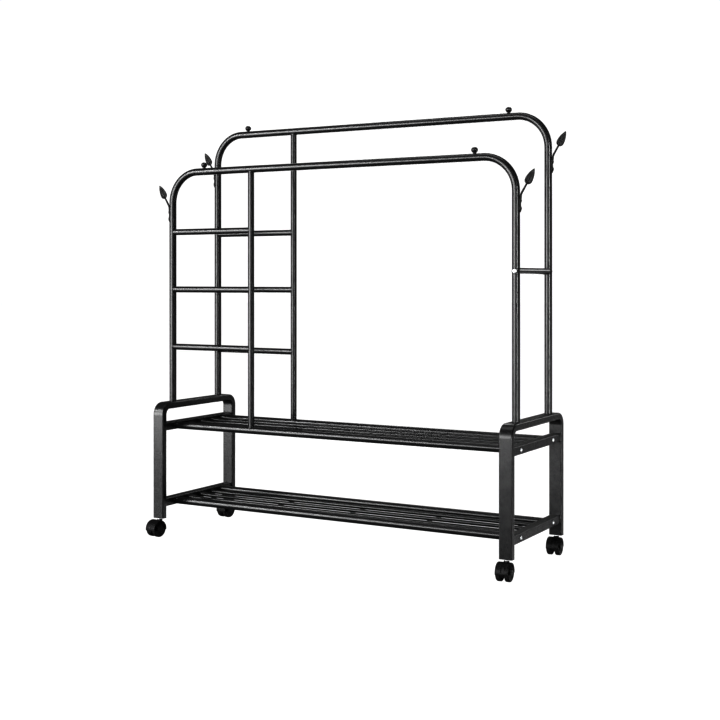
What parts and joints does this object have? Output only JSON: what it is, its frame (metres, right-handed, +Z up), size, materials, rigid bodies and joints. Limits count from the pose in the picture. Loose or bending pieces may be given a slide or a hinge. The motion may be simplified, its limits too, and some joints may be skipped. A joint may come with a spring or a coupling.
{
  "type": "garment rail",
  "caption": "Clothes rack of black steel tube on swivel casters, with a lower front rail, a taller rear rail, rod shelves, side rungs, ball knobs and leaf-shaped hooks.",
  "frame": {"origin": "on the floor, midway between the four posts", "axes": "+X to the right seen from the front, +Y to the back (towards the taller rail), +Z up"},
  "size_m": [1.3102, 0.4393, 1.3395],
  "materials": {
    "black_coat": "black satin powder coat on steel tube",
    "zinc": "bright zinc-plated steel",
    "hood_plastic": "black moulded nylon, satin",
    "wheel_plastic": "black moulded nylon wheel, satin",
    "plug_plastic": "black moulded polythene, matt"
  },
  "bodies": {
    "rack": {"left_end_frame": "black_coat", "right_end_frame": "black_coat", "left_upper_crossbar": "black_coat", "left_lower_crossbar": "black_coat", "right_upper_crossbar": "black_coat", "right_lower_crossbar": "black_coat", "upper_shelf_front_tube": "black_coat", "upper_shelf_rear_tube": "black_coat", "upper_shelf_slats": "black_coat", "upper_shelf_ties": "black_coat", "lower_shelf_front_tube": "black_coat", "lower_shelf_rear_tube": "black_coat", "lower_shelf_slats": "black_coat", "lower_shelf_ties": "black_coat", "front_top_rail": "black_coat", "rear_top_rail": "black_coat", "front_left_post": "black_coat", "front_right_post": "black_coat", "rear_left_post": "black_coat", "rear_right_post": "black_coat", "front_divider": "black_coat", "rear_divider": "black_coat", "front_rungs": "black_coat", "rear_rungs": "black_coat", "side_cross_tube": "black_coat", "front_left_knob": "black_coat", "front_right_knob": "black_coat", "rear_left_knob": "black_coat", "rear_right_knob": "black_coat", "front_left_hook": "black_coat", "front_right_hook": "black_coat", "rear_left_hook": "black_coat", "rear_right_hook": "black_coat", "hook_screws": "black_coat", "shelf_bolts": "zinc", "cross_tube_bolts": "zinc", "post_bolts": "zinc", "tube_inserts": "zinc", "joint_sleeves": "zinc", "leg_plugs": "plug_plastic", "caster_stems": "zinc"},
    "front_left_caster": {"front_left_caster_hood": "hood_plastic", "front_left_caster_axle": "zinc"},
    "front_left_caster_wheel_a": {"front_left_caster_wheel_a": "wheel_plastic"},
    "front_left_caster_wheel_b": {"front_left_caster_wheel_b": "wheel_plastic"},
    "front_right_caster": {"front_right_caster_hood": "hood_plastic", "front_right_caster_axle": "zinc"},
    "front_right_caster_wheel_a": {"front_right_caster_wheel_a": "wheel_plastic"},
    "front_right_caster_wheel_b": {"front_right_caster_wheel_b": "wheel_plastic"},
    "rear_left_caster": {"rear_left_caster_hood": "hood_plastic", "rear_left_caster_axle": "zinc"},
    "rear_left_caster_wheel_a": {"rear_left_caster_wheel_a": "wheel_plastic"},
    "rear_left_caster_wheel_b": {"rear_left_caster_wheel_b": "wheel_plastic"},
    "rear_right_caster": {"rear_right_caster_hood": "hood_plastic", "rear_right_caster_axle": "zinc"},
    "rear_right_caster_wheel_a": {"rear_right_caster_wheel_a": "wheel_plastic"},
    "rear_right_caster_wheel_b": {"rear_right_caster_wheel_b": "wheel_plastic"}
  },
  "joints": [
    {"name": "front_left_swivel", "type": "hinge", "parent": "rack", "child": "front_left_caster", "pos_m": [-0.6, -0.19, 0.045], "axis": [0, 0, 1], "continuous": true},
    {"name": "front_left_wheel_a_spin", "type": "hinge", "parent": "front_left_caster", "child": "front_left_caster_wheel_a", "pos_m": [-0.60237, -0.20683, 0.025], "axis": [0.9903, -0.1392, 0], "continuous": true},
    {"name": "front_left_wheel_b_spin", "type": "hinge", "parent": "front_left_caster", "child": "front_left_caster_wheel_b", "pos_m": [-0.60237, -0.20683, 0.025], "axis": [0.9903, -0.1392, 0], "continuous": true},
    {"name": "front_right_swivel", "type": "hinge", "parent": "rack", "child": "front_right_caster", "pos_m": [0.6, -0.19, 0.045], "axis": [0, 0, 1], "continuous": true},
    {"name": "front_right_wheel_a_spin", "type": "hinge", "parent": "front_right_caster", "child": "front_right_caster_wheel_a", "pos_m": [0.60119, -0.20696, 0.025], "axis": [0.9976, 0.0698, 0], "continuous": true},
    {"name": "front_right_wheel_b_spin", "type": "hinge", "parent": "front_right_caster", "child": "front_right_caster_wheel_b", "pos_m": [0.60119, -0.20696, 0.025], "axis": [0.9976, 0.0698, 0], "continuous": true},
    {"name": "rear_left_swivel", "type": "hinge", "parent": "rack", "child": "rear_left_caster", "pos_m": [-0.6, 0.19, 0.045], "axis": [0, 0, 1], "continuous": true},
    {"name": "rear_left_wheel_a_spin", "type": "hinge", "parent": "rear_left_caster", "child": "rear_left_caster_wheel_a", "pos_m": [-0.60237, 0.17317, 0.025], "axis": [0.9903, -0.1392, 0], "continuous": true},
    {"name": "rear_left_wheel_b_spin", "type": "hinge", "parent": "rear_left_caster", "child": "rear_left_caster_wheel_b", "pos_m": [-0.60237, 0.17317, 0.025], "axis": [0.9903, -0.1392, 0], "continuous": true},
    {"name": "rear_right_swivel", "type": "hinge", "parent": "rack", "child": "rear_right_caster", "pos_m": [0.6, 0.19, 0.045], "axis": [0, 0, 1], "continuous": true},
    {"name": "rear_right_wheel_a_spin", "type": "hinge", "parent": "rear_right_caster", "child": "rear_right_caster_wheel_a", "pos_m": [0.60119, 0.17304, 0.025], "axis": [0.9976, 0.0698, 0], "continuous": true},
    {"name": "rear_right_wheel_b_spin", "type": "hinge", "parent": "rear_right_caster", "child": "rear_right_caster_wheel_b", "pos_m": [0.60119, 0.17304, 0.025], "axis": [0.9976, 0.0698, 0], "continuous": true}
  ]
}
